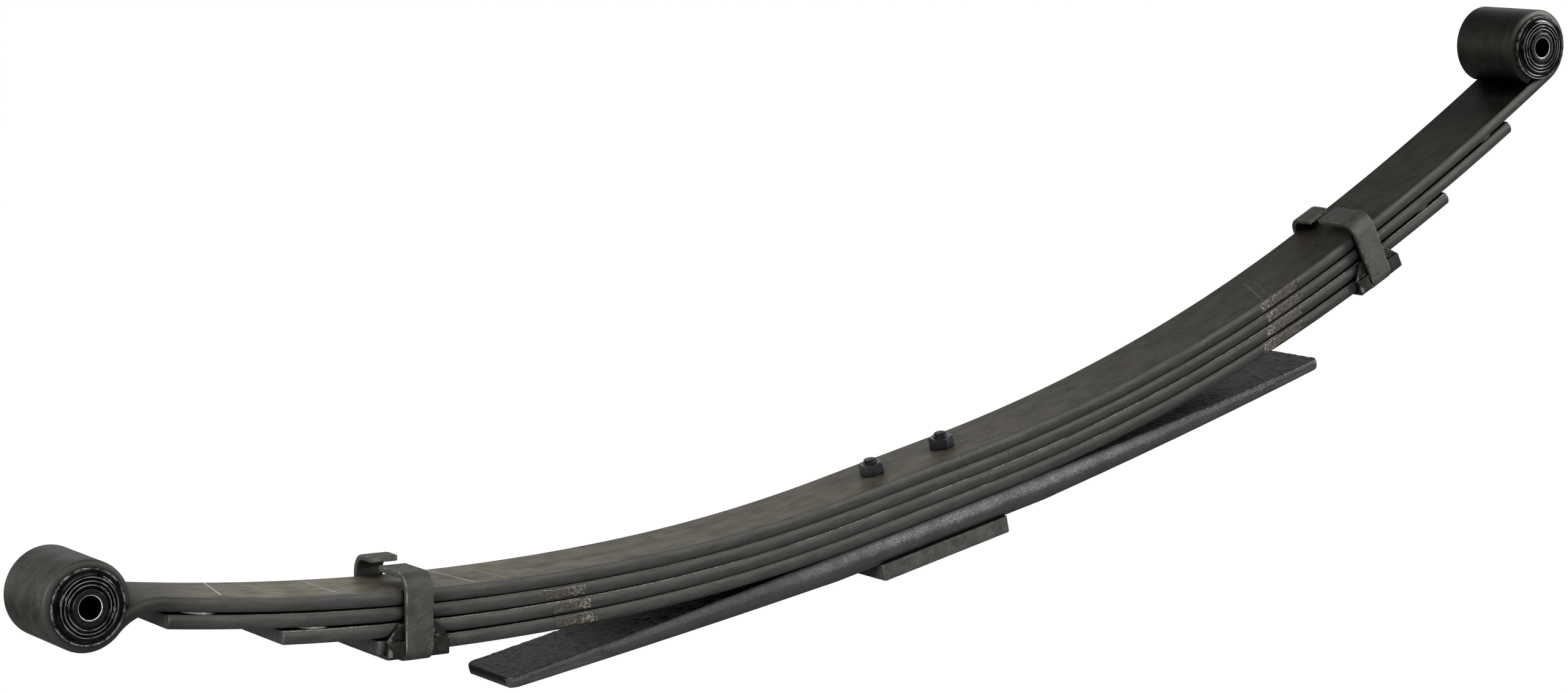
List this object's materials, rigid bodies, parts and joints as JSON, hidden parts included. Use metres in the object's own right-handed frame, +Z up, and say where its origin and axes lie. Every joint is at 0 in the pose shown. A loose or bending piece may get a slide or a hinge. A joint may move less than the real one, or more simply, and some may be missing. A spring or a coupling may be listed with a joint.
{
  "type": "leaf spring",
  "caption": "Multi-leaf vehicle suspension spring with rolled eyes, rubber bushes, rebound clips, a thick overload leaf and an axle spacer.",
  "frame": {"origin": "middle of the axle spacer's underside, half way between the two centre bolts", "axes": "+X from the front eye to the rear eye, +Y across the spring, +Z up out of the axle seat towards the main leaf"},
  "size_m": [1.6394, 0.09, 0.3078],
  "materials": {
    "leaf_paint": "satin black chassis paint over shot-peened spring steel",
    "overload_paint": "glossier black paint over a pebbled scale surface",
    "spacer_paint": "satin black paint",
    "bolt_steel": "black oxide with bright rubbed thread crests",
    "nut_steel": "black oxide, glossy",
    "sleeve_steel": "dark painted steel with a bright rubbed rim",
    "inner_sleeve_steel": "dark phosphated steel with a bright chamfer",
    "bush_rubber": "glossy black moulded rubber",
    "clip_paint": "satin black paint over rolled strap",
    "liner_rubber": "moulded dark grey elastomer",
    "rivet_steel": "painted forged head",
    "insert_plastic": "pale low-friction plastic"
  },
  "bodies": {
    "root": {"main_leaf": "leaf_paint", "second_leaf": "leaf_paint", "third_leaf": "leaf_paint", "fourth_leaf": "leaf_paint", "overload_leaf": "overload_paint", "axle_spacer": "spacer_paint", "center_bolts": "bolt_steel", "center_nuts": "nut_steel"},
    "front_half": {"front_bush_outer_sleeve": "sleeve_steel", "front_bush_rubber": "bush_rubber", "front_rebound_clip": "clip_paint", "front_clip_liner": "liner_rubber", "front_clip_rivet": "rivet_steel", "second_leaf_front_insert": "insert_plastic", "third_leaf_front_insert": "insert_plastic"},
    "front_pivot_sleeve": {"front_bush_inner_sleeve": "inner_sleeve_steel"},
    "rear_half": {"rear_bush_outer_sleeve": "sleeve_steel", "rear_bush_rubber": "bush_rubber", "rear_rebound_clip": "clip_paint", "rear_clip_liner": "liner_rubber", "rear_clip_rivet": "rivet_steel", "second_leaf_rear_insert": "insert_plastic", "third_leaf_rear_insert": "insert_plastic"},
    "rear_pivot_sleeve": {"rear_bush_inner_sleeve": "inner_sleeve_steel"}
  },
  "joints": [
    {"name": "front_flex", "type": "hinge", "parent": "root", "child": "front_half", "pos_m": [-0.28, 0, 0.074], "axis": [0, -1, 0], "range_deg": [0, 11], "stiffness_Nm_per_rad": 8000, "deforming": ["main_leaf", "second_leaf", "third_leaf", "fourth_leaf"]},
    {"name": "front_bush_twist", "type": "hinge", "parent": "front_half", "child": "front_pivot_sleeve", "pos_m": [-0.787, 0, 0.223], "axis": [0, 1, 0], "range_deg": [-20, 20], "stiffness_Nm_per_rad": 60},
    {"name": "rear_flex", "type": "hinge", "parent": "root", "child": "rear_half", "pos_m": [0.28, 0, 0.074], "axis": [0, 1, 0], "range_deg": [0, 11], "stiffness_Nm_per_rad": 8000, "deforming": ["main_leaf", "second_leaf", "third_leaf", "fourth_leaf"]},
    {"name": "rear_bush_twist", "type": "hinge", "parent": "rear_half", "child": "rear_pivot_sleeve", "pos_m": [0.78, 0, 0.26259], "axis": [0, 1, 0], "range_deg": [-20, 20], "stiffness_Nm_per_rad": 60}
  ],
  "couplings": [
    {"joint": "rear_flex", "follows": "front_flex", "ratio": 1}
  ]
}
